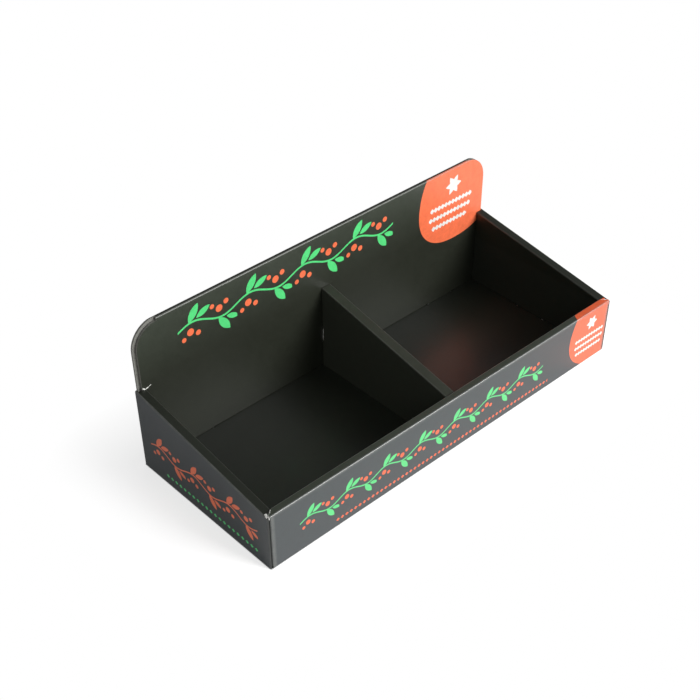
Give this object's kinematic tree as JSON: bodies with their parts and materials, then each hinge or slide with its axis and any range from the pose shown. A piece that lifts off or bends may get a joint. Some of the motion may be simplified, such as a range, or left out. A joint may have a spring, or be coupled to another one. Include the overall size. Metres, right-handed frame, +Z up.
{
  "type": "counter display box",
  "caption": "Low open counter display tray of folded printed board with a tall rounded header at the back and a divider that makes two compartments.",
  "frame": {"origin": "middle of the underside, where the tray stands on the counter", "axes": "+X along the long front wall to the viewer's right, +Y from the front wall to the header, +Z up"},
  "size_m": [0.287, 0.116, 0.1],
  "materials": {
    "printed_board": "black printed micro-flute board with a soft satin varnish and pale cut edges",
    "divider_board": "black printed micro-flute board with a soft satin varnish"
  },
  "bodies": {
    "root": {"display_tray": "printed_board", "divider": "divider_board"}
  },
  "joints": []
}
